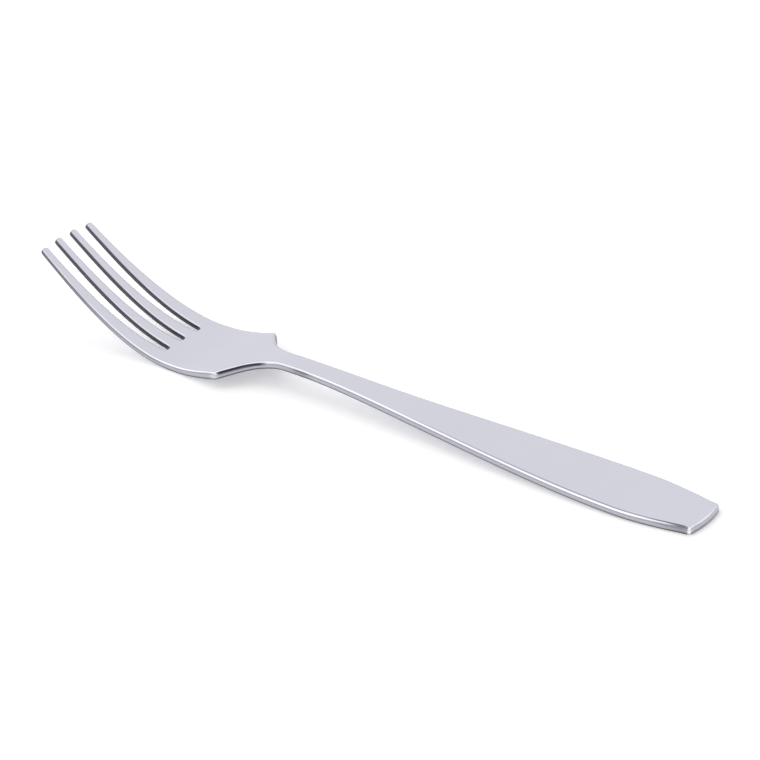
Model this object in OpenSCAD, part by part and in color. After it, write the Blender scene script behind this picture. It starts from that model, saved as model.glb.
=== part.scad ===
// Dinner fork: one piece of stamped stainless steel with four tines.
// It lies as on a table: +X runs from the tine tips to the handle's end, +Y across, +Z up.
// The origin is the middle of the underside of the bounding box, on the table.
// The solid is the fork's outline, seen from above, cut to its profile, seen from the side.

/* [Overall] */
// Length from the tine tips to the handle's end
fork_len = 200; // [180:1:230]

/* [Tines] */
// Length of the two inner tines, from the tip to the slot's root
tine_len = 39.6; // [34:0.5:48]
// How far the two outer tines stop short of the inner ones
outer_setback = 0.4; // [0:0.1:1.5]
// Width across all four tine tips
tips_w = 20.6; // [18:0.1:23]
// Width of one tine near its tip
tine_tip_w = 2.2; // [1.7:0.1:2.8]
// Width of an inner tine at the slot's root
tine_root_w = 4.5; // [3.6:0.1:5]
// Width of a slot at its root
slot_root_w = 2.1; // [1.6:0.1:2.8]

/* [Palm and shoulders] */
// Length of the palm, from the slot roots to the shoulder corners
palm_len = 21.2; // [16:0.2:26]
// Width across the shoulder corners
shoulder_w = 27.2; // [25:0.1:30]
// How far each side of the head opens out at the tips, in degrees
tip_flare = 4; // [2:0.5:6]
// How far each side of the head still opens out at the shoulders, in degrees
shoulder_flare = 0; // [0:0.1:3]
// Angle between each shoulder's edge and the fork's length, in degrees
shoulder_angle = 52; // [46:1:60]
// Radius of the shoulder corners
shoulder_r = 1; // [0.4:0.1:1.4]

/* [Neck] */
// Width of the neck
neck_w = 7.1; // [5:0.1:9]
// Radius of the hollow that leads from a shoulder into the neck
neck_fillet = 13; // [9:0.2:15]
// Length of the neck's parallel stretch
neck_len = 3; // [1:0.5:8]

/* [Handle] */
// Greatest width of the handle
handle_w = 20.2; // [16:0.1:22]
// Distance from the handle's widest place to its end
widest_from_end = 21.5; // [18:0.5:30]
// Width between the corners of the handle's end
end_w = 14.4; // [11:0.1:16]
// How far the middle of the end bulges past its corners
end_bulge = 0.9; // [0.4:0.1:1.6]
// How far each side closes in at the end's corners, in degrees
end_taper = 12; // [8:1:18]
// Radius of the end's corners
end_corner_r = 1.1; // [0.4:0.1:1.2]

/* [Side profile] */
// Height of the tine tips' underside above the table
tip_rise = 21; // [16:0.1:24]
// Slope of the tines at their tips, in degrees
tip_slope = 37; // [32:0.5:42]
// Distance from the slot roots to the palm's lowest place
bowl_from_root = 7; // [3:0.2:8]
// Length of the palm's underside that lies flat on the table
bowl_flat = 1.6; // [1:0.1:3]
// Distance from the shoulder corners to the neck's highest place
crest_from_shoulder = 16; // [11:0.2:18]
// Height of the neck's underside at its highest place
crest_rise = 4.8; // [4:0.1:7]
// Distance from the neck's highest place to the middle of the handle
middle_from_crest = 43; // [36:0.5:50]
// Height of the underside at the middle of the handle
middle_rise = 2.7; // [2.2:0.1:3.6]
// Slope of the handle at its middle, in degrees
middle_slope = 3; // [2:0.1:4]
// Length of the handle's end that lies flat on the table
foot_len = 6; // [4:0.5:10]

/* [Thickness] */
// Thickness at the tine tips
tip_t = 1.2; // [1:0.05:1.5]
// Thickness at the slot roots
root_t = 1.5; // [1.3:0.05:1.9]
// Thickness at the shoulders
palm_t = 2.2; // [1.7:0.05:2.5]
// Thickness of the neck and of the handle
handle_t = 1.9; // [1.7:0.05:2.5]
// Radius that rounds the handle's end, seen from the side
end_edge_r = 0.4; // [0.2:0.05:0.7]

/* [Hidden] */

// Steps along each curved stretch of the profile and of the outline
curve_steps = 16;
// Steps round each small arc
arc_steps = 6;
// How far a cutting block runs past what it cuts
overrun = 3;

// Places along the fork, measured from the tine tips
root_x = tine_len;
shoulder_x = tine_len + palm_len;
fillet_x = shoulder_x + (neck_fillet - cos(shoulder_angle) * (neck_fillet + neck_w / 2 - shoulder_w / 2))
    / sin(shoulder_angle);
bowl_x = tine_len + bowl_from_root;
crest_x = shoulder_x + crest_from_shoulder;
middle_x = crest_x + middle_from_crest;
widest_x = fork_len - widest_from_end;
end_x = fork_len - end_bulge;
nose_x = tip_t / 2 * (1 - sin(tip_slope) - cos(tip_slope));

// Three slots part the four tines: width at the mouth, and where the middle of a side slot lies
mouth_w = (tips_w - 4 * tine_tip_w) / 3;
side_slot_mouth_y = mouth_w + tine_tip_w;
side_slot_root_y = slot_root_w + tine_root_w;

// Height of the underside, as stations of [place, height, slope]
underside = [
    [nose_x, tip_rise, -tan(tip_slope)],
    [bowl_x - bowl_flat / 2, 0, 0],
    [bowl_x + bowl_flat / 2, 0, 0],
    [crest_x, crest_rise, 0],
    [middle_x, middle_rise, -tan(middle_slope)],
    [fork_len - foot_len, 0, 0],
    [fork_len, 0, 0],
];

// Thickness, as stations of [place, thickness]
gauge = [[nose_x, tip_t], [root_x, root_t], [shoulder_x, palm_t], [crest_x, handle_t]];

// Half the width of the head and of the handle, as stations of [place, half width, slope]
head_side = [
    [0, tips_w / 2, tan(tip_flare)],
    [shoulder_x, shoulder_w / 2, tan(shoulder_flare)],
];
handle_side = [
    [fillet_x + neck_len, neck_w / 2, 0],
    [widest_x, handle_w / 2, 0],
    [end_x, end_w / 2, -tan(end_taper)],
];

// Height and slope at x of the smooth curve that joins stations a and b
function curve_y(x, a, b) =
    let (d = b[0] - a[0], t = (x - a[0]) / d)
    (2 * t^3 - 3 * t^2 + 1) * a[1] + (t^3 - 2 * t^2 + t) * d * a[2]
    + (3 * t^2 - 2 * t^3) * b[1] + (t^3 - t^2) * d * b[2];
function curve_slope(x, a, b) =
    let (d = b[0] - a[0], t = (x - a[0]) / d)
    (6 * t^2 - 6 * t) * (a[1] - b[1]) / d + (3 * t^2 - 4 * t + 1) * a[2] + (3 * t^2 - 2 * t) * b[2];

// Points along the curve from station a up to, but not at, station b
function is_flat(a, b) = a[1] == b[1] && a[2] == 0 && b[2] == 0;
function stretch(a, b) =
    let (steps = is_flat(a, b) ? 1 : curve_steps)
    [for (i = [0:steps - 1]) let (x = a[0] + (b[0] - a[0]) * i / steps)
        [x, curve_y(x, a, b), curve_slope(x, a, b)]];
function whole_curve(stations) = [
    for (i = [0:len(stations) - 2]) each stretch(stations[i], stations[i + 1]),
    stations[len(stations) - 1],
];

// Points of an arc about a centre, from one angle to another
function arc(centre, r, from, to) =
    [for (i = [0:arc_steps]) let (angle = from + (to - from) * i / arc_steps)
        centre + r * [cos(angle), sin(angle)]];

// Points that round the corner at b, between a and c, to the radius r
function rounded(a, b, c, r) =
    let (u = (a - b) / norm(a - b), v = (c - b) / norm(c - b), half = acos(u * v) / 2,
        centre = b + (u + v) / norm(u + v) * r / sin(half),
        first = b + u * r / tan(half) - centre, last = b + v * r / tan(half) - centre,
        from = atan2(first[1], first[0]), turn = (atan2(last[1], last[0]) - from + 540) % 360 - 180)
    arc(centre, r, from, from + turn);

// A list turned round, and the first two numbers of each of its points
function reversed(list) = [for (i = [len(list) - 1:-1:0]) list[i]];
function places(list) = [for (p = list) [p[0], p[1]]];

// The fork's profile: along the underside to the handle's end, and back along the top
module side_profile() {
    under = whole_curve(underside);
    top = reversed([for (p = under)
        [p[0], p[1]] + lookup(p[0], gauge) * [-p[2], 1] / norm([p[2], 1])]);
    low = places(under);
    n = len(low) - 1;
    nose_r = tip_t / 2;
    polygon(concat(
        rounded(top[n], low[0], low[1], nose_r),
        [for (i = [1:n - 1]) low[i]],
        rounded(low[n - 1], low[n], top[0], end_edge_r),
        rounded(low[n], top[0], top[1], end_edge_r),
        [for (i = [1:n - 1]) top[i]],
        rounded(top[n - 1], top[n], low[0], nose_r)));
}

// Half round the tip of a tine between two edges, from its outer edge to its inner one
function tine_tip(tip_x, outer_y, inner_y) =
    let (r = (outer_y - inner_y) / 2)
    arc([tip_x + r, inner_y + r], r, 90, 270);

// Half the width of a slot, and the middle of a side slot, at x
function slot_half(x) = (mouth_w + (slot_root_w - mouth_w) * x / root_x) / 2;
function side_slot_y(x) = side_slot_mouth_y + (side_slot_root_y - side_slot_mouth_y) * x / root_x;

// One side of the outline, from the middle of the handle's end to the root of the middle slot
function half_outline() =
    let (end_r = ((end_w / 2)^2 + end_bulge^2) / (2 * end_bulge),
        end_centre = [fork_len - end_r, 0],
        end_turn = asin(end_w / 2 / end_r),
        end_arc = arc(end_centre, end_r, 0, end_turn),
        handle = reversed(places(whole_curve(handle_side))),
        neck_arc = arc([fillet_x, neck_w / 2 + neck_fillet], neck_fillet, 270, 270 - shoulder_angle),
        head = reversed(places(whole_curve(head_side))),
        tip_x = tine_tip_w / 2,
        root_r = slot_root_w / 2,
        tine_y = side_slot_y(tip_x),
        gap = slot_half(tip_x))
    concat(
        [for (i = [0:arc_steps - 1]) end_arc[i]],
        rounded(end_arc[arc_steps - 1], handle[0], handle[1], end_corner_r),
        [for (i = [1:len(handle) - 1]) handle[i]],
        neck_arc,
        rounded(neck_arc[arc_steps], head[0], head[1], shoulder_r),
        [for (i = [1:len(head) - 2]) head[i]],
        tine_tip(outer_setback, curve_y(tip_x, head_side[0], head_side[1]), tine_y + gap),
        arc([root_x - root_r, side_slot_root_y], root_r, 90, -90),
        tine_tip(0, tine_y - gap, gap),
        arc([root_x - root_r, 0], root_r, 90, 0));

// The whole outline, with the other side as its mirror image
module outline() {
    half = half_outline();
    polygon(concat(half, [for (i = [len(half) - 2:-1:1]) [half[i][0], -half[i][1]]]));
}

// The fork: its outline, cut from a plate bent to its profile
module fork() {
    tall = tip_rise + tip_t + overrun;
    wide = max(shoulder_w, handle_w) + overrun;
    color([0.83, 0.83, 0.88])
        translate([-fork_len / 2, 0, 0])
            intersection() {
                translate([0, 0, -overrun])
                    linear_extrude(tall + overrun)
                        outline();
                rotate([90, 0, 0])
                    linear_extrude(wide, center = true)
                        side_profile();
            }
}

fork();
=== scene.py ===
"""Dinner fork in polished stainless steel, lying on a pale table in soft studio light."""

import math

import bpy
import numpy as np
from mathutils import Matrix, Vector
from mathutils.geometry import delaunay_2d_cdt


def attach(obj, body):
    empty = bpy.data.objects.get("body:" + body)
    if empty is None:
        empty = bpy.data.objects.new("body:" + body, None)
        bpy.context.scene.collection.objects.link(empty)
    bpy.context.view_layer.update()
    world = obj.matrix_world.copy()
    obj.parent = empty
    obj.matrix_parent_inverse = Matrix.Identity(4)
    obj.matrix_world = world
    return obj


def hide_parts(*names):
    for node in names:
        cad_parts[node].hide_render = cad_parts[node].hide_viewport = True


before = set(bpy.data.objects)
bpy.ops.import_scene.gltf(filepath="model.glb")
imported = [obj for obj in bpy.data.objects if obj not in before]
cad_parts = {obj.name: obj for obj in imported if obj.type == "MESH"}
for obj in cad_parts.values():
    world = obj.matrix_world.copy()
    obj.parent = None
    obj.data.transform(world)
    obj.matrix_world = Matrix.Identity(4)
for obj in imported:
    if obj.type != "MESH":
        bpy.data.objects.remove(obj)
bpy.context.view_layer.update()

MM = 0.001

# Outline of the fork, in millimetres and degrees, as in the solid
FORK_LEN = 200
TINE_LEN = 39.6
OUTER_SETBACK = 0.4
TIPS_W = 20.6
TINE_TIP_W = 2.2
TINE_ROOT_W = 4.5
SLOT_ROOT_W = 2.1
PALM_LEN = 21.2
SHOULDER_W = 27.2
TIP_FLARE = 4
SHOULDER_FLARE = 0
SHOULDER_ANGLE = 52
SHOULDER_R = 1
NECK_W = 7.1
NECK_FILLET = 13
NECK_LEN = 3
HANDLE_W = 20.2
WIDEST_FROM_END = 21.5
END_W = 14.4
END_BULGE = 0.9
END_TAPER = 12
END_CORNER_R = 1.1

# The tines' tips: how long their round is, its bluntness (1 is an even round), and how much farther
# along the fork the plate starts than the solid's
TIP_ROUND_LEN = 0.85
TIP_BLUNTNESS = 0.85
TIP_SET_IN = 0.18

# Side profile
TIP_RISE = 21
TIP_SLOPE = 37
BOWL_FROM_ROOT = 7
BOWL_FLAT = 1.6
CREST_FROM_SHOULDER = 16
CREST_RISE = 4.8
MIDDLE_FROM_CREST = 43
MIDDLE_RISE = 2.7
MIDDLE_SLOPE = 3
FOOT_LEN = 6

# Thickness
TIP_T = 1.2
ROOT_T = 1.5
PALM_T = 2.2
HANDLE_T = 1.9

# The section of the edges: radii as shares of the thickness, and the angles in degrees, from level,
# at which the ease meets the round, the round the side, and the side the lower round
TOP_EASE_SHARE = 0.7
TOP_ROUND_SHARE = 0.35
BOTTOM_ROUND_SHARE = 0.15
EASE_LEAN = 65
SIDE_LEAN = 24
UNDER_LEAN = 12
# How far the mesh stays inside the solid, in millimetres
SKIN = 0.01
# The section shrinks to these shares at the outer corners and at the tips, within these reaches
CORNER_SHARE = 0.65
CORNER_REACH = 2.4
TIP_SHARE = 0.5
TIP_REACH = 7
# How far from the corners the walls get no painted shade, and how many times nearer the corners' looks
# are full
SHOULDER_UNSHADED_REACH = 1.35
END_UNSHADED_REACH = 0.75
CORNER_FADE = 3

# Fineness of the mesh
CURVE_STEP = 0.5
ARC_STEP = 0.16
FLANK_STEPS = 12
TOP_EASE_STEPS = 4
TOP_ROUND_STEPS = 6
SIDE_STEPS = 6
BOTTOM_ROUND_STEPS = 6
CAP_STEP = 1.1
SAME_PLACE = 1e-6

# Places along the fork, measured from the tine tips
shoulder_x = TINE_LEN + PALM_LEN
flank = math.radians(SHOULDER_ANGLE)
fillet_rise = NECK_FILLET + NECK_W / 2 - SHOULDER_W / 2
fillet_x = shoulder_x + (NECK_FILLET - math.cos(flank) * fillet_rise) / math.sin(flank)
bowl_x = TINE_LEN + BOWL_FROM_ROOT
crest_x = shoulder_x + CREST_FROM_SHOULDER
middle_x = crest_x + MIDDLE_FROM_CREST
tip_pitch = math.radians(TIP_SLOPE)
nose_x = TIP_T / 2 * (1 - math.sin(tip_pitch) - math.cos(tip_pitch))


def rise(degrees):
    """Slope of a line at that many degrees."""
    return math.tan(math.radians(degrees))


# Stations of [place, height or half width, slope], and of place and thickness
UNDERSIDE = [
    (nose_x, TIP_RISE, -rise(TIP_SLOPE)),
    (bowl_x - BOWL_FLAT / 2, 0, 0),
    (bowl_x + BOWL_FLAT / 2, 0, 0),
    (crest_x, CREST_RISE, 0),
    (middle_x, MIDDLE_RISE, -rise(MIDDLE_SLOPE)),
    (FORK_LEN - FOOT_LEN, 0, 0),
    (FORK_LEN, 0, 0),
]
HEAD_SIDE = [
    (0, TIPS_W / 2, rise(TIP_FLARE)),
    (shoulder_x, SHOULDER_W / 2, rise(SHOULDER_FLARE)),
]
HANDLE_SIDE = [
    (fillet_x + NECK_LEN, NECK_W / 2, 0),
    (FORK_LEN - WIDEST_FROM_END, HANDLE_W / 2, 0),
    (FORK_LEN - END_BULGE, END_W / 2, -rise(END_TAPER)),
]
GAUGE_X = [nose_x, TINE_LEN, shoulder_x, crest_x]
GAUGE_T = [TIP_T, ROOT_T, PALM_T, HANDLE_T]

# The three slots: width at the mouth, and where the middle of a side slot lies
mouth_w = (TIPS_W - 4 * TINE_TIP_W) / 3
side_slot_mouth_y = mouth_w + TINE_TIP_W
side_slot_root_y = SLOT_ROOT_W + TINE_ROOT_W


def follow(x, stations):
    """Height and slope at x of the smooth curve through the stations."""
    x = np.asarray(x, float)
    height = np.full(x.shape, float(stations[0][1]))
    slope = np.full(x.shape, float(stations[0][2]))
    for (ax, ay, am), (bx, by, bm) in zip(stations, stations[1:]):
        d = bx - ax
        t = np.clip((x - ax) / d, 0, 1)
        on = x >= ax
        y = (2*t**3 - 3*t**2 + 1)*ay + (t**3 - 2*t**2 + t)*d*am
        y = y + (3*t**2 - 2*t**3)*by + (t**3 - t**2)*d*bm
        m = (6*t**2 - 6*t)*(ay - by)/d + (3*t**2 - 4*t + 1)*am + (3*t**2 - 2*t)*bm
        height = np.where(on, y, height)
        slope = np.where(on, m, slope)
    return height, slope


def side_curve(stations):
    """Points along one side of the outline, from the last station back to the first."""
    count = int(math.ceil((stations[-1][0] - stations[0][0]) / CURVE_STEP))
    x = np.linspace(stations[-1][0], stations[0][0], count + 1)
    return np.column_stack([x, follow(x, stations)[0]])


def arc(centre, radius, start, stop):
    """Points of an arc, from one angle to another, in radians."""
    count = max(4, int(math.ceil(abs(stop - start) * radius / ARC_STEP)))
    angle = np.linspace(start, stop, count + 1)
    return np.asarray(centre) + radius * np.column_stack([np.cos(angle), np.sin(angle)])


def rounded(a, b, c, radius):
    """Points that round the corner at b, between a and c."""
    u = (a - b) / np.linalg.norm(a - b)
    v = (c - b) / np.linalg.norm(c - b)
    half = math.acos(u @ v) / 2
    centre = b + (u + v) / np.linalg.norm(u + v) * radius / math.sin(half)
    first = b + u * radius / math.tan(half) - centre
    last = b + v * radius / math.tan(half) - centre
    start = math.atan2(first[1], first[0])
    turn = (math.atan2(last[1], last[0]) - start + math.pi) % math.tau - math.pi
    return arc(centre, radius, start, start + turn)


def slot_edges(x):
    """Half the width of a slot at x, and where the middle of a side slot lies."""
    share = x / TINE_LEN
    half = (mouth_w + (SLOT_ROOT_W - mouth_w) * share) / 2
    return half, side_slot_mouth_y + (side_slot_root_y - side_slot_mouth_y) * share


def slot_edge(start_x, stop_x, side_slot, sign):
    """Points along one edge of a slot, between its ends."""
    count = int(math.ceil(abs(stop_x - start_x) / CURVE_STEP))
    x = np.linspace(start_x, stop_x, count + 1)[1:-1]
    half, middle = slot_edges(x)
    return np.column_stack([x, (middle if side_slot else 0) + sign * half])


def half_outline():
    """One side of the outline, from the middle of the handle's end to the root of the middle slot."""
    end_r = ((END_W / 2) ** 2 + END_BULGE ** 2) / (2 * END_BULGE)
    end_arc = arc((FORK_LEN - end_r, 0), end_r, 0, math.asin(END_W / 2 / end_r))
    handle = side_curve(HANDLE_SIDE)
    up, down = math.pi / 2, -math.pi / 2
    neck_arc = arc((fillet_x, NECK_W / 2 + NECK_FILLET), NECK_FILLET, down, down - flank)
    head = side_curve(HEAD_SIDE)
    tip_x = TIP_ROUND_LEN
    root_r = SLOT_ROOT_W / 2
    slot_end_x = TINE_LEN - root_r
    gap, tine_y = slot_edges(tip_x)

    def tine_tip(setback, outer_y, inner_y):
        half = (outer_y - inner_y) / 2
        turn = arc((0, 0), 1, up, up + math.pi)
        blunt = np.sign(turn) * np.abs(turn) ** TIP_BLUNTNESS
        return blunt * (TIP_ROUND_LEN, half) + (setback + TIP_ROUND_LEN, inner_y + half)

    def clear_of(points, corner, reach):
        return points[np.linalg.norm(points - corner, axis=1) > reach]

    end_corner = np.array([FORK_LEN - END_BULGE, END_W / 2])
    shoulder = np.array([shoulder_x, SHOULDER_W / 2])
    outer_y = follow(tip_x, HEAD_SIDE)[0]
    head = head[head[:, 0] > OUTER_SETBACK + TIP_ROUND_LEN]
    near = 3 * CURVE_STEP
    shares = np.linspace(0, 1, FLANK_STEPS + 1)[1:-1, None]
    flank_line = neck_arc[-1] + shares * (shoulder - neck_arc[-1])
    pieces = [
        clear_of(end_arc, end_corner, near),
        rounded(end_arc[-4], end_corner, handle[1], END_CORNER_R),
        clear_of(handle, end_corner, near),
        neck_arc,
        clear_of(flank_line, shoulder, SHOULDER_R),
        rounded(neck_arc[-1], shoulder, head[2], SHOULDER_R),
        clear_of(head, shoulder, near),
        tine_tip(OUTER_SETBACK, outer_y, tine_y + gap),
        slot_edge(OUTER_SETBACK + tip_x, slot_end_x, True, 1),
        arc((slot_end_x, side_slot_root_y), root_r, up, down),
        slot_edge(slot_end_x, tip_x, True, -1),
        tine_tip(0, tine_y - gap, gap),
        slot_edge(tip_x, slot_end_x, False, 1),
        arc((slot_end_x, 0), root_r, up, 0),
    ]
    return np.concatenate(pieces)


def whole_outline():
    """The closed outline, anticlockwise from above, with its outward normals."""
    half = half_outline()
    points = np.concatenate([half, half[-2:0:-1] * (1, -1)])
    apart = np.linalg.norm(points - np.roll(points, 1, axis=0), axis=1) > CURVE_STEP / 100
    points = points[apart]
    before = points - np.roll(points, 1, axis=0)
    after = np.roll(points, -1, axis=0) - points
    before_len = np.linalg.norm(before, axis=1)[:, None]
    after_len = np.linalg.norm(after, axis=1)[:, None]
    tangent = before / before_len * after_len + after / after_len * before_len
    tangent /= np.linalg.norm(tangent, axis=1)[:, None]
    return points, np.column_stack([tangent[:, 1], -tangent[:, 0]])


def plate(xy, share):
    """Points of the bent plate over the places xy, at that share of its thickness, and its frame."""
    x = xy[:, 0]
    along = np.where(x < TINE_LEN, x + (nose_x + TIP_SET_IN) * (1 - x / TINE_LEN), x)
    height, slope = follow(along, UNDERSIDE)
    thick = np.interp(along, GAUGE_X, GAUGE_T)
    size = np.sqrt(1 + slope ** 2)
    up = np.column_stack([-slope / size, np.zeros_like(x), 1 / size])
    forward = np.column_stack([1 / size, np.zeros_like(x), slope / size])
    points = np.column_stack([along, xy[:, 1], height]) + up * (thick * share)[:, None]
    return points, up, forward


def ramp(value, start, stop):
    """0 at start, 1 at stop, and smooth between them."""
    share = np.clip((value - start) / (stop - start), 0, 1)
    return share * share * (3 - 2 * share)


def near_corner(xy, reach):
    """1 at the shoulder corners and at the handle's end corners, and 0 from that reach on."""
    x, y = xy[:, 0], np.abs(xy[:, 1])
    shoulder = np.hypot(x - shoulder_x, y - SHOULDER_W / 2)
    end = np.hypot(x - FORK_LEN + END_BULGE, y - END_W / 2)
    return ramp(np.minimum(shoulder, end), reach, reach / CORNER_FADE)


def unshaded_corner(xy):
    """1 at the same corners, where the walls get no painted shade, and 0 a little away from them."""
    return near_corner(xy, np.where(xy[:, 0] < middle_x, SHOULDER_UNSHADED_REACH, END_UNSHADED_REACH))


def rounding(xy):
    """The scale of the edge's section, in millimetres: less at the outer corners and at the tips."""
    share = 1 - (1 - CORNER_SHARE) * near_corner(xy, CORNER_REACH)
    share *= 1 - (1 - TIP_SHARE) * ramp(xy[:, 0], TIP_REACH, 0)
    return np.interp(xy[:, 0], GAUGE_X, GAUGE_T)[:, None] * share[:, None]


def edge_rings():
    """Rings round the edge, from the top face to the underside, as (inset share, height share, angle).

    The top face eases into a round, then come a side that bulges a little and a small round again.
    """
    ease, lean, under = (math.radians(a) for a in (EASE_LEAN, SIDE_LEAN, -UNDER_LEAN))
    stretches = [
        (math.pi / 2, ease, TOP_EASE_SHARE, TOP_EASE_STEPS),
        (ease, lean, TOP_ROUND_SHARE, TOP_ROUND_STEPS),
        (lean, under, 0, SIDE_STEPS),
        (under, -math.pi / 2, BOTTOM_ROUND_SHARE, BOTTOM_ROUND_STEPS),
    ]
    rest = 1 - sum(radius * (math.sin(start) - math.sin(stop)) for start, stop, radius, _ in stretches)
    bulge = rest / (math.sin(lean) - math.sin(under))
    widest = TOP_EASE_SHARE * math.cos(ease)
    widest += TOP_ROUND_SHARE * (math.cos(lean) - math.cos(ease)) + bulge * (1 - math.cos(lean))
    rings = [(widest, 1, math.pi / 2)]
    for start, stop, radius, steps in stretches:
        base_inset, base_h, _ = rings[-1]
        radius = radius or bulge
        for angle in np.linspace(start, stop, steps + 1)[1:]:
            inset = base_inset - radius * (math.cos(angle) - math.cos(start))
            rings.append((inset, base_h - radius * (math.sin(start) - math.sin(angle)), angle))
    return rings


def inside(points, outline):
    """Which points lie inside the closed outline."""
    x, y = points[:, 0][:, None], points[:, 1][:, None]
    ax, ay = outline[:, 0][None], outline[:, 1][None]
    bx, by = np.roll(outline[:, 0], -1)[None], np.roll(outline[:, 1], -1)[None]
    crosses = (ay > y) != (by > y)
    run = np.where(crosses, by - ay, 1)
    return (crosses & (x < (bx - ax) * (y - ay) / run + ax)).sum(axis=1) % 2 == 1


def fill(outline):
    """Triangles that fill the outline, with rows of inner points across the fork, and those points."""
    xs = np.arange(CAP_STEP / 2, FORK_LEN, CAP_STEP)
    ys = np.arange(-SHOULDER_W / 2, SHOULDER_W / 2, CAP_STEP)
    grid = np.stack(np.meshgrid(xs, ys), axis=-1).reshape(-1, 2)
    grid = grid[inside(grid, outline)]
    clearance = np.min(np.linalg.norm(grid[:, None] - outline[None], axis=2), axis=1)
    grid = grid[clearance > CAP_STEP / 2]
    count = len(outline)
    edges = [(i, (i + 1) % count) for i in range(count)]
    points = [Vector(p) for p in np.concatenate([outline, grid])]
    made = delaunay_2d_cdt(points, edges, [list(range(count))], 1, SAME_PLACE)
    faces, origins = made[2], made[3]
    if any(len(o) != 1 for o in origins):
        raise ValueError("the fork's outline crosses itself")
    order = [o[0] for o in origins]
    return grid, [[order[i] for i in f] for f in faces]


# The painted shade and painted highlights on the edge depend on the place along the fork, on the side
# that the edge faces (1 where it faces straight that way) and on the angle of its surface: 90 degrees
# on the top face, 0 on the wall and -90 on the underside. Each pair is a range, from where a look
# begins to where it is full.
SIDE_FACING = (0.5, 0.9)

# How much painted shade and painted dark reflection the walls get, which also makes them rougher: on
# the outside, in the slots, at the outer tines' tips, in the hollows, at the neck, at the handle's end
# and at the foot of the wall
SIDE_SHADE = 0.29
SLOT_SHADE = 0.88
TIP_SHADE = 0.75
HOLLOW_SHADE = 0.31
NECK_SHADE = 0.48
END_SHADE = 0.5
UNDER_EDGE_SHADE = 0.7
WALL_ANGLES = (42, 28)
SLOT_WALL_ANGLES = (64, 50)
UNDER_EDGE_ANGLES = (-2, -14)
FOOT_ANGLES = (-88, -60)
HOLLOW_FACING = (0.2, 0.5)
TIP_SIDE_FACING = (0.3, 0.9)
NECK_PAST_CREST = 4
NECK_REACH = (5, 1)
END_WALL_X = (FORK_LEN - 9, FORK_LEN - 3)

# How dark the painted line of dark reflection is where the handle's face turns into its near edge, at
# places along the fork, and how dark the painted dark reflection on the rims of the tips and of the far
# edges is
LINE_X = (110, 129, 165, 188, 193)
LINE_SHADE = (0, 0.25, 0.5, 0.5, 0.8)
LINE_TOP_ANGLES = (89, 82)
LINE_ANGLES = (62, 72)
END_LINE_ANGLES = (20, 40)
END_LINE_X = (FORK_LEN - 8, FORK_LEN - 3.5)
TIP_RIM_SHADE = 0.26
TIP_FACING = (0.2, 0.6)
FAR_TINE_RIM_SHADE = 0.25
FAR_RIM_SHADE = 0.08
FAR_FACING = (0.3, 0.8)

# How dark the painted band of dark reflection is where the edge's round turns into its wall
HOLLOW_BAND = 1
NECK_BAND = 0.7
TINE_BAND = 0.5
END_BAND = 0.55
BAND_ANGLES = (46, 40)
TINE_BAND_ANGLES = (60, 46)
BAND_FOOT_ANGLES = (6, 14)
HOLLOW_BAND_FACING = (0.22, 0.48)
TINE_BAND_START_X = (6, 14)
TINE_BAND_STOP_X = (TINE_LEN + 8, TINE_LEN)
END_BAND_X = (FORK_LEN - 18, FORK_LEN - 5)

# How far the painted highlight of the crease at the near corner of the handle's end reaches, and how
# bright the painted highlight on the end's rim is beside it
CREASE_REACH = 0.8
CREASE_ANGLES = (86, 66)
CREASE_FOOT_ANGLES = (-70, -30)
RIM_BRIGHT = 0.6
RIM_Y = (4, 6.2)
RIM_FACING = (0.7, 0.9)
RIM_ANGLES = (84, 70)
RIM_FOOT_ANGLES = (36, 50)

# How bright the painted highlight on the round of the near edge is, at places along the fork
NEAR_HIGHLIGHT_X = (20, 30, 42, 57, 62, 80, 110, 186, 191)
NEAR_HIGHLIGHT = (0, 0.2, 0.5, 0.3, 0, 0.25, 0.32, 0.32, 0)
NEAR_HIGHLIGHT_FACING = (0.6, 0.9)
NEAR_HIGHLIGHT_ANGLES = (76, 66)
NEAR_HIGHLIGHT_FOOT_ANGLES = (26, 38)


def at_neck(x):
    """1 at the neck's narrow place, a little past its crest, and 0 away from it."""
    return ramp(np.abs(x - crest_x - NECK_PAST_CREST), *NECK_REACH)


def wall_shading(xy, normals):
    """How much painted shade the wall gets at each place of the outline, and which places lie in a
    slot.
    """
    x, y = xy[:, 0], np.abs(xy[:, 1])
    outer, _ = follow(x, HEAD_SIDE)
    tine_w = TINE_TIP_W + (TINE_ROOT_W - TINE_TIP_W) * x / TINE_LEN
    in_slot = (x < TINE_LEN) & (y < outer - tine_w / 2)
    outside = SIDE_SHADE + (TIP_SHADE - SIDE_SHADE) * ramp(x, TINE_LEN, 0)
    hollow = (x > shoulder_x) & (x < middle_x)
    outside += (HOLLOW_SHADE - SIDE_SHADE) * ramp(normals[:, 0], *HOLLOW_FACING) * hollow
    outside += (NECK_SHADE - SIDE_SHADE) * at_neck(x)
    across = np.abs(normals[:, 1])
    outside += (END_SHADE - SIDE_SHADE) * ramp(x, *END_WALL_X) * ramp(across, *SIDE_FACING)
    outside *= 1 - unshaded_corner(xy)
    sideways = np.where(x < TINE_TIP_W, ramp(across, *TIP_SIDE_FACING), 1)
    return np.where(in_slot, SLOT_SHADE, outside) * sideways, in_slot


def line_shading(xy, normals):
    """How dark the painted line on the near edge is, and the painted dark reflection on the rims of the
    tips and of the far edges.
    """
    x = xy[:, 0]
    line = np.interp(x, LINE_X, LINE_SHADE) * ramp(-normals[:, 1], *SIDE_FACING)
    line *= 1 - unshaded_corner(xy)
    tip = (x < TINE_TIP_W) * ramp(-normals[:, 0], *TIP_FACING)
    far = np.where(x < TINE_LEN, FAR_TINE_RIM_SHADE, FAR_RIM_SHADE) * ramp(normals[:, 1], *FAR_FACING)
    return np.maximum(line + far, TIP_RIM_SHADE * tip)


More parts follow.
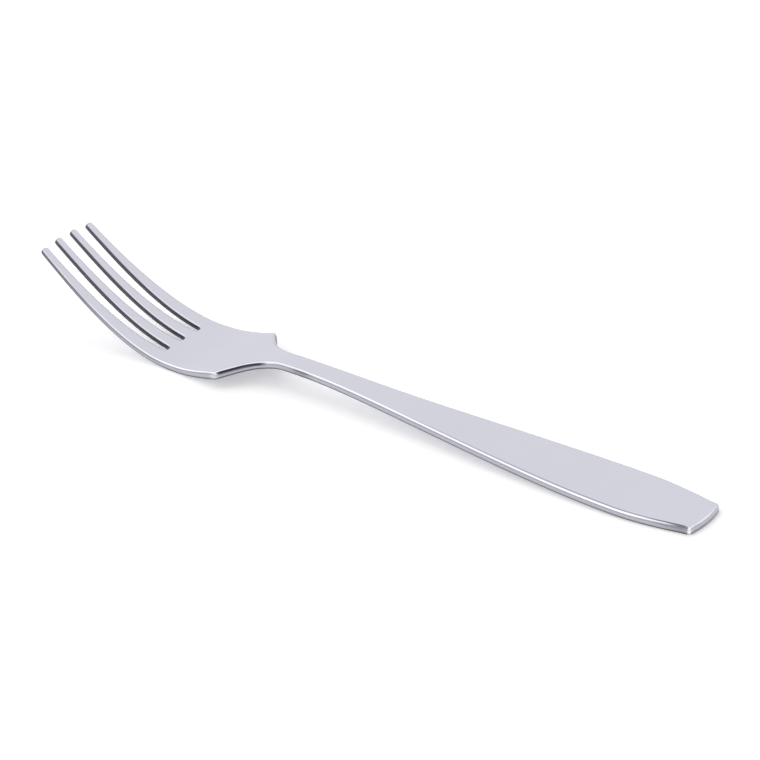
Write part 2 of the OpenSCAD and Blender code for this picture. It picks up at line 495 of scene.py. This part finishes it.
def band_shading(xy, normals):
    """How dark the painted band above the wall is: in the hollows, at the neck, on the tines, at the
    end.
    """
    x = xy[:, 0]
    hollow = (x > shoulder_x) & (x < fillet_x)
    band = HOLLOW_BAND * ramp(normals[:, 0], *HOLLOW_BAND_FACING) * hollow
    band = band + NECK_BAND * at_neck(x)
    band += TINE_BAND * ramp(x, *TINE_BAND_START_X) * ramp(x, *TINE_BAND_STOP_X)
    band += END_BAND * ramp(x, *END_BAND_X) * ramp(np.abs(normals[:, 1]), *SIDE_FACING)
    return band * (1 - unshaded_corner(xy))


def edge_shading(walls, in_slot, line, band, x, angle):
    """The painted shade of one ring round the edge."""
    degrees = math.degrees(angle)
    foot = ramp(degrees, *FOOT_ANGLES)
    on_wall = np.where(in_slot, ramp(degrees, *SLOT_WALL_ANGLES), ramp(degrees, *WALL_ANGLES)) * foot
    end = ramp(x, *END_LINE_X)
    line_foot = ramp(degrees, *LINE_ANGLES) * (1 - end) + ramp(degrees, *END_LINE_ANGLES) * end
    on_line = ramp(degrees, *LINE_TOP_ANGLES) * line_foot
    band_top = np.where(x < bowl_x, ramp(degrees, *TINE_BAND_ANGLES), ramp(degrees, *BAND_ANGLES))
    on_band = band_top * ramp(degrees, *BAND_FOOT_ANGLES)
    below = UNDER_EDGE_SHADE * ramp(degrees, *UNDER_EDGE_ANGLES) * foot
    lines = np.maximum(line * on_line, band * on_band)
    return np.clip(np.maximum(walls * on_wall + below, lines), 0, 1)


def edge_highlight(xy, normals, angle):
    """How bright the painted highlight of one ring round the edge is: at the end's near corner, and on
    the near edge.
    """
    degrees = math.degrees(angle)
    x, near_y = xy[:, 0], -xy[:, 1]
    apart = np.hypot(x - FORK_LEN + END_BULGE, near_y - END_W / 2)
    crease = ramp(apart, CREASE_REACH, CREASE_REACH / CORNER_FADE)
    rim = RIM_BRIGHT * ramp(near_y, *RIM_Y) * ramp(normals[:, 0], *RIM_FACING)
    near_highlight = np.interp(x, NEAR_HIGHLIGHT_X, NEAR_HIGHLIGHT) * ramp(-normals[:, 1], *NEAR_HIGHLIGHT_FACING)
    on_crease = ramp(degrees, *CREASE_ANGLES) * ramp(degrees, *CREASE_FOOT_ANGLES)
    on_rim = ramp(degrees, *RIM_ANGLES) * ramp(degrees, *RIM_FOOT_ANGLES)
    on_near_highlight = ramp(degrees, *NEAR_HIGHLIGHT_ANGLES) * ramp(degrees, *NEAR_HIGHLIGHT_FOOT_ANGLES)
    return np.maximum(np.maximum(crease * on_crease, rim * on_rim), near_highlight * on_near_highlight)


def build_fork():
    """The fork's mesh: rings round its edge, and a filled top face and underside."""
    outline, normals = whole_outline()
    walls, in_slot = wall_shading(outline, normals)
    line = line_shading(outline, normals)
    band = band_shading(outline, normals)
    count = len(outline)
    rings = edge_rings()
    points, shade_shares, highlight_shares, directions, faces = [], [], [], [], []
    plans = []
    for inset, height, angle in rings:
        plan = outline - normals * (inset * rounding(outline) + SKIN)
        place, plate_up, forward = plate(plan, height)
        outward = normals[:, :1] * forward + normals[:, 1:] * np.array([0, 1, 0])
        points.append(place)
        directions.append(outward * math.cos(angle) + plate_up * math.sin(angle))
        shade_shares.append(edge_shading(walls, in_slot, line, band, outline[:, 0], angle))
        highlight_shares.append(edge_highlight(outline, normals, angle))
        plans.append(plan)
    for ring in range(len(rings) - 1):
        top, low = ring * count, (ring + 1) * count
        for i in range(count):
            j = (i + 1) % count
            faces.append((low + i, low + j, top + j, top + i))
    total = count * len(rings)
    for ring, share, side in ((0, 1, 1), (len(rings) - 1, 0, -1)):
        grid, triangles = fill(plans[ring])
        place, plate_up, _ = plate(grid, share)
        points.append(place)
        directions.append(plate_up * side)
        shade_shares.append(np.zeros(len(grid)))
        highlight_shares.append(np.zeros(len(grid)))
        plan = np.concatenate([plans[ring], grid])
        for a, b, c in triangles:
            area = np.cross(plan[b] - plan[a], plan[c] - plan[a])
            corners = (a, b, c) if area * side > 0 else (a, c, b)
            faces.append(tuple(ring * count + i if i < count else total + i - count for i in corners))
        total += len(grid)
    points = np.concatenate(points)
    points[:, 0] -= FORK_LEN / 2
    mesh = bpy.data.meshes.new("fork_polished")
    mesh.from_pydata((points * MM).tolist(), [], faces)
    mesh.polygons.foreach_set("use_smooth", [True] * len(mesh.polygons))
    # The painted shade and painted highlights go on the mesh as shares for the steel's colour
    for name, amounts in (("painted_shade", shade_shares), ("painted_highlight", highlight_shares)):
        attribute = mesh.attributes.new(name, "FLOAT", "POINT")
        attribute.data.foreach_set("value", np.concatenate(amounts).astype(np.float32))
    mesh.normals_split_custom_set_from_vertices(np.concatenate(directions).tolist())
    mesh.update()
    piece = bpy.data.objects.new("fork_polished", mesh)
    bpy.context.scene.collection.objects.link(piece)
    return piece


class Nodes:
    """A short way to add nodes to a material or world and link them."""

    def __init__(self, owner):
        owner.use_nodes = True
        self.tree = owner.node_tree
        self.tree.nodes.clear()

    def add(self, kind, values=None, **settings):
        """A node of that kind. Its sockets take the values, or links where a value is a socket."""
        node = self.tree.nodes.new(kind)
        for name, value in settings.items():
            setattr(node, name, value)
        for name, value in (values or {}).items():
            socket = node.inputs[name]
            if isinstance(value, bpy.types.NodeSocket):
                self.tree.links.new(value, socket)
            else:
                socket.default_value = value
        return node

    def maths(self, operation, *values, clamp=False):
        """The result of the operation on the values."""
        numbers = dict(enumerate(values))
        node = self.add("ShaderNodeMath", numbers, operation=operation, use_clamp=clamp)
        return node.outputs["Value"]

    def mix(self, share, first, second):
        """The first colour at share 0, and the second at 1."""
        values = {"Fac": share, "Color1": first, "Color2": second}
        return self.add("ShaderNodeMixRGB", values).outputs["Color"]

    def noise(self, place, scale, detail):
        """A random pattern from 0 to 1, finer with the scale."""
        values = {"Vector": place, "Scale": scale, "Detail": detail}
        return self.add("ShaderNodeTexNoise", values).outputs["Fac"]

    def spread(self, value, low, high):
        """A value from 0 to 1, spread from low to high."""
        values = {"Value": value, "To Min": low, "To Max": high}
        return self.add("ShaderNodeMapRange", values).outputs["Result"]


def linear(red, green, blue):
    """A colour given in display values from 0 to 255."""
    parts = [c / 255 for c in (red, green, blue)]
    return tuple(c / 12.92 if c <= 0.04045 else ((c + 0.055) / 1.055) ** 2.4 for c in parts) + (1,)


# The steel: its colours, with those of the painted shade and painted highlights, its roughness, and its
# faint lines and haze
STEEL = linear(211, 211, 222)
HAZED_STEEL = linear(207, 207, 218)
PAINTED_SHADE_STEEL = linear(60, 59, 66)
PAINTED_HIGHLIGHT_STEEL = linear(241, 241, 246)
POLISHED_ROUGHNESS = 0.08
DULL_ROUGHNESS = 0.3
LINE_ROUGHNESS = 0.04
LINES_PER_METRE = (60, 2600, 2600)
HAZE_PER_METRE = 55
LINE_DEPTH = 0.0004 * MM
STEEL_DETAIL = 3


def steel_material():
    """Polished steel: faint lines along the fork, rougher walls darkened by painted shade, and painted
    highlights.
    """
    material = bpy.data.materials.new("polished_steel")
    n = Nodes(material)
    place = n.add("ShaderNodeTexCoord").outputs["Object"]
    painted_dark = n.add("ShaderNodeAttribute", attribute_name="painted_shade").outputs["Fac"]
    painted_highlight = n.add("ShaderNodeAttribute", attribute_name="painted_highlight").outputs["Fac"]
    stretched = n.add("ShaderNodeMapping", {"Vector": place, "Scale": LINES_PER_METRE})
    lines = n.noise(stretched.outputs["Vector"], 1, STEEL_DETAIL)
    haze = n.noise(place, HAZE_PER_METRE, STEEL_DETAIL)
    face = n.mix(haze, STEEL, HAZED_STEEL)
    # Painted shade darkens the colour, and painted highlights lighten it
    shaded = n.mix(painted_dark, face, PAINTED_SHADE_STEEL)
    colour = n.mix(painted_highlight, shaded, PAINTED_HIGHLIGHT_STEEL)
    half = LINE_ROUGHNESS / 2
    grain = n.spread(lines, POLISHED_ROUGHNESS - half, POLISHED_ROUGHNESS + half)
    rough = n.maths("MULTIPLY_ADD", painted_dark, DULL_ROUGHNESS - POLISHED_ROUGHNESS, grain)
    bump = n.add("ShaderNodeBump", {"Height": lines, "Strength": 1, "Distance": LINE_DEPTH})
    shader = n.add("ShaderNodeBsdfPrincipled", {
        "Base Color": colour, "Metallic": 1, "Roughness": rough, "Normal": bump.outputs["Normal"]})
    n.add("ShaderNodeOutputMaterial", {"Surface": shader.outputs["BSDF"]})
    return material


def shown_rays(n):
    """1 for rays that see the white background: from the camera, reflected or refracted."""
    path = n.add("ShaderNodeLightPath").outputs
    seen = n.maths("MAXIMUM", path["Is Camera Ray"], path["Is Glossy Ray"])
    return n.maths("MAXIMUM", seen, path["Is Transmission Ray"])


# The floor: its size and drop in metres, its colour, the light it adds for the camera, and its grain
FLOOR_SIZE = 6
FLOOR_DROP = 0.02 * MM
FLOOR_COLOUR = 0.87
FLOOR_GLOW = 0.28
PAPER_PER_METRE = 900
PAPER_TONE = 0.004
PAPER_DETAIL = 2


def make_floor():
    """A pale floor that takes the fork's shadow, and is white to the camera where nothing shades it."""
    half = FLOOR_SIZE / 2
    mesh = bpy.data.meshes.new("floor")
    corners = [(x * half, y * half, -FLOOR_DROP) for x, y in ((-1, -1), (1, -1), (1, 1), (-1, 1))]
    mesh.from_pydata(corners, [], [(0, 1, 2, 3)])
    floor = bpy.data.objects.new("floor", mesh)
    bpy.context.scene.collection.objects.link(floor)
    material = bpy.data.materials.new("floor_paper")
    n = Nodes(material)
    place = n.add("ShaderNodeTexCoord").outputs["Object"]
    grain = n.noise(place, PAPER_PER_METRE, PAPER_DETAIL)
    tone = n.spread(grain, FLOOR_COLOUR - PAPER_TONE, FLOOR_COLOUR + PAPER_TONE)
    matt = n.add("ShaderNodeBsdfDiffuse", {"Color": tone}).outputs["BSDF"]
    glow = n.maths("MULTIPLY", shown_rays(n), FLOOR_GLOW)
    light = n.add("ShaderNodeEmission", {"Strength": glow}).outputs["Emission"]
    both = n.add("ShaderNodeAddShader", {0: matt, 1: light}).outputs["Shader"]
    n.add("ShaderNodeOutputMaterial", {"Surface": both})
    mesh.materials.append(material)


# The world's light on the floor, and how much greyer the metal shows it at the horizon
AMBIENT = 0.38
HORIZON_DIP = 0.8
HORIZON_POWER = 18


def make_world():
    """A white surround that lights softly. What the metal shows of it is greyer near the horizon."""
    world = bpy.data.worlds.new("studio")
    bpy.context.scene.world = world
    n = Nodes(world)
    towards = n.add("ShaderNodeTexCoord").outputs["Generated"]
    height = n.add("ShaderNodeSeparateXYZ", {"Vector": towards}).outputs["Z"]
    depth = n.maths("SUBTRACT", 1, height)
    low = n.maths("POWER", depth, HORIZON_POWER, clamp=True)
    reflected = n.add("ShaderNodeLightPath").outputs["Is Glossy Ray"]
    dip = n.maths("MULTIPLY", low, reflected)
    shown = n.spread(shown_rays(n), AMBIENT, 1)
    strength = n.maths("MULTIPLY_ADD", dip, -HORIZON_DIP, shown)
    ground = n.add("ShaderNodeBackground", {"Color": (1, 1, 1, 1), "Strength": strength})
    n.add("ShaderNodeOutputWorld", {"Surface": ground.outputs["Background"]})


def direction(azimuth, elevation):
    """The unit vector towards a place seen from the fork: azimuth 0 is -Y, and 90 is +X."""
    a, e = math.radians(azimuth), math.radians(elevation)
    return Vector((math.sin(a) * math.cos(e), -math.cos(a) * math.cos(e), math.sin(e)))


def aim(thing, place, target):
    """Puts a thing at a place, with its -Z side towards the target."""
    thing.location = place
    thing.rotation_mode = "QUATERNION"
    thing.rotation_quaternion = (Vector(target) - Vector(place)).to_track_quat("-Z", "Y")


def softbox(name, place, width, depth, radiance):
    """A soft rectangular lamp that hangs level and lights only the metal, which reflects it."""
    lamp = bpy.data.lights.new(name, "AREA")
    lamp.shape = "RECTANGLE"
    lamp.size, lamp.size_y = width, depth
    lamp.energy = radiance * math.pi * width * depth
    holder = bpy.data.objects.new(name, lamp)
    bpy.context.scene.collection.objects.link(holder)
    holder.location = place
    holder.visible_diffuse = False


def far_lamp(name, azimuth, elevation, spread, level):
    """A soft distant lamp that gives a level surface that share of white. Metal doesn't show it."""
    lamp = bpy.data.lights.new(name, "SUN")
    lamp.angle = math.radians(spread)
    lamp.energy = level * math.pi / math.sin(math.radians(elevation))
    holder = bpy.data.objects.new(name, lamp)
    bpy.context.scene.collection.objects.link(holder)
    aim(holder, direction(azimuth, elevation), (0, 0, 0))
    holder.visible_glossy = False


def card(name, corner, across, along, shade):
    """A flat card from a corner along two edges, seen only in the metal, and of that share of white."""
    first, across, along = Vector(corner), Vector(across), Vector(along)
    corners = [first, first + across, first + across + along, first + along]
    mesh = bpy.data.meshes.new(name)
    mesh.from_pydata(corners, [], [(0, 1, 2, 3)])
    holder = bpy.data.objects.new(name, mesh)
    bpy.context.scene.collection.objects.link(holder)
    material = bpy.data.materials.new(name)
    n = Nodes(material)
    shown = n.add("ShaderNodeEmission", {"Color": (1, 1, 1, 1), "Strength": shade}).outputs["Emission"]
    n.add("ShaderNodeOutputMaterial", {"Surface": shown})
    mesh.materials.append(material)
    holder.visible_camera = False
    holder.visible_diffuse = False
    holder.visible_shadow = False


# The photograph's camera: its direction in degrees, its distance in metres from what it looks at,
# and the scale there
CAMERA_AZIMUTH = 34.965
CAMERA_ELEVATION = 28.676
CAMERA_DISTANCE = 0.9
CAMERA_TARGET = (3.269 * MM, 0, 9.33 * MM)
PIXELS_PER_MM = 3.9333
IMAGE_PIXELS = 760
SENSOR = 36


def make_camera():
    """The photograph's camera, aimed at the middle of the fork."""
    camera = bpy.data.cameras.new("camera")
    camera.sensor_width = SENSOR
    camera.lens = SENSOR * CAMERA_DISTANCE / MM * PIXELS_PER_MM / IMAGE_PIXELS
    holder = bpy.data.objects.new("camera", camera)
    bpy.context.scene.collection.objects.link(holder)
    target = Vector(CAMERA_TARGET)
    aim(holder, target + direction(CAMERA_AZIMUTH, CAMERA_ELEVATION) * CAMERA_DISTANCE, target)
    bpy.context.scene.camera = holder


make_camera()
make_world()
make_floor()
# The metal reflects the softbox and the cards, and the far lamps make the shadows on the floor
softbox("overhead_softbox", place=(-0.67, -0.54, 0.9), width=1.56, depth=1.38, radiance=0.44)
far_lamp("front_lamp", azimuth=325, elevation=32, spread=60, level=0.16)
far_lamp("back_lamp", azimuth=235, elevation=40, spread=80, level=0.42)
card("dark_card", corner=(0.08, -0.1, 0.09), across=(0.055, 0, 0), along=(0, 0, 0.5), shade=0.04)
card("bright_card", corner=(-0.15, -0.29, 0.1), across=(0.15, 0, 0), along=(0, 0, 0.26), shade=1.8)
card("corner_card", corner=(0.13, -0.29, 0.12), across=(0.77, 0, 0), along=(0, 0, 1.3), shade=1.15)
card("back_card", corner=(0.1, 0.3, 0.19), across=(0.22, 0, 0), along=(0, 0, 0.14), shade=1.35)

fork = build_fork()
fork.data.materials.append(steel_material())
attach(fork, "root")
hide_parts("fork")

bpy.context.scene.view_settings.view_transform = "Standard"
